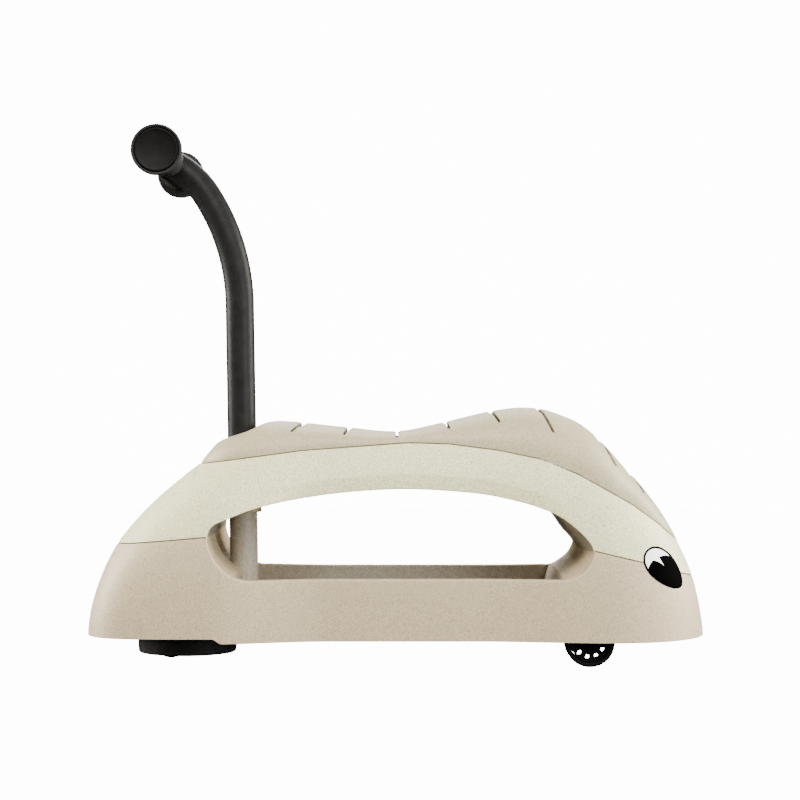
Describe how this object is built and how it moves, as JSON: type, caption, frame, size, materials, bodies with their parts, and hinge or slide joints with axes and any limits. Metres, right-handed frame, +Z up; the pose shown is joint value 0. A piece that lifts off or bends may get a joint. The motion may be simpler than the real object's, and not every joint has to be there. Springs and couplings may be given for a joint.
{
  "type": "ride-on walker",
  "caption": "Toddler ride-on walker: moulded saddle body with an open side tunnel, two front wheels, a swivelling rear caster under a round hood, and a T push handle.",
  "frame": {"origin": "on the floor, under the middle of the body's length and width", "axes": "+X to the nose, +Y to the rider's left, +Z up"},
  "size_m": [0.592, 0.242, 0.5058],
  "materials": {
    "shell_tan": "matte, finely speckled",
    "shell_cream": "matte, finely speckled",
    "shell_sand": "matte, finely speckled",
    "black_plastic": "satin",
    "black_rubber": "matte",
    "black_steel": "satin powder coat",
    "bare_steel": "zinc plated",
    "nylon": "satin",
    "eye_black": "gloss print"
  },
  "bodies": {
    "body": {"base_shell": "shell_tan", "deck_plate": "shell_tan", "handle_post": "shell_tan", "handle_socket": "shell_tan", "axle_clamp_left": "shell_tan", "axle_clamp_right": "shell_tan", "arch_shell": "shell_cream", "seat_shell": "shell_sand", "axle_cap_left": "black_plastic", "axle_cap_right": "black_plastic", "grip_cap_left": "black_plastic", "grip_cap_right": "black_plastic", "tube_plug": "black_plastic", "grip_left": "black_rubber", "grip_right": "black_rubber", "handle_tube": "black_steel", "handle_crossbar": "black_steel", "front_axle": "bare_steel", "body_screw_1": "bare_steel", "body_screw_2": "bare_steel", "body_screw_3": "bare_steel", "body_screw_4": "bare_steel", "seat_screw_1": "bare_steel", "seat_screw_2": "bare_steel", "seat_screw_3": "bare_steel", "seat_screw_4": "bare_steel", "clamp_screw_1": "bare_steel", "clamp_screw_2": "bare_steel", "clamp_screw_3": "bare_steel", "clamp_screw_4": "bare_steel", "axle_spacer_left": "nylon", "axle_spacer_right": "nylon", "caster_bushing": "nylon", "eye_left": "eye_black", "eye_right": "eye_black"},
    "front_wheel_left": {"front_hub_left": "black_plastic", "front_tyre_left": "black_rubber"},
    "front_wheel_right": {"front_hub_right": "black_plastic", "front_tyre_right": "black_rubber"},
    "caster": {"caster_hood": "black_plastic", "caster_pin": "bare_steel", "caster_clip": "bare_steel", "caster_axle": "bare_steel", "caster_cap_left": "black_plastic", "caster_cap_right": "black_plastic"},
    "caster_wheel_left": {"caster_wheel_left": "black_rubber"},
    "caster_wheel_right": {"caster_wheel_right": "black_rubber"}
  },
  "joints": [
    {"name": "front_wheel_left_spin", "type": "hinge", "parent": "body", "child": "front_wheel_left", "pos_m": [0.1817, 0.09, 0.02335], "axis": [0, 1, 0], "continuous": true},
    {"name": "front_wheel_right_spin", "type": "hinge", "parent": "body", "child": "front_wheel_right", "pos_m": [0.1817, -0.09, 0.02335], "axis": [0, 1, 0], "continuous": true},
    {"name": "caster_swivel", "type": "hinge", "parent": "body", "child": "caster", "pos_m": [-0.204, 0, 0.056], "axis": [0, 0, 1], "continuous": true},
    {"name": "caster_wheel_left_spin", "type": "hinge", "parent": "caster", "child": "caster_wheel_left", "pos_m": [-0.218, 0.0133, 0.02], "axis": [0, 1, 0], "continuous": true},
    {"name": "caster_wheel_right_spin", "type": "hinge", "parent": "caster", "child": "caster_wheel_right", "pos_m": [-0.218, -0.0133, 0.02], "axis": [0, 1, 0], "continuous": true}
  ]
}
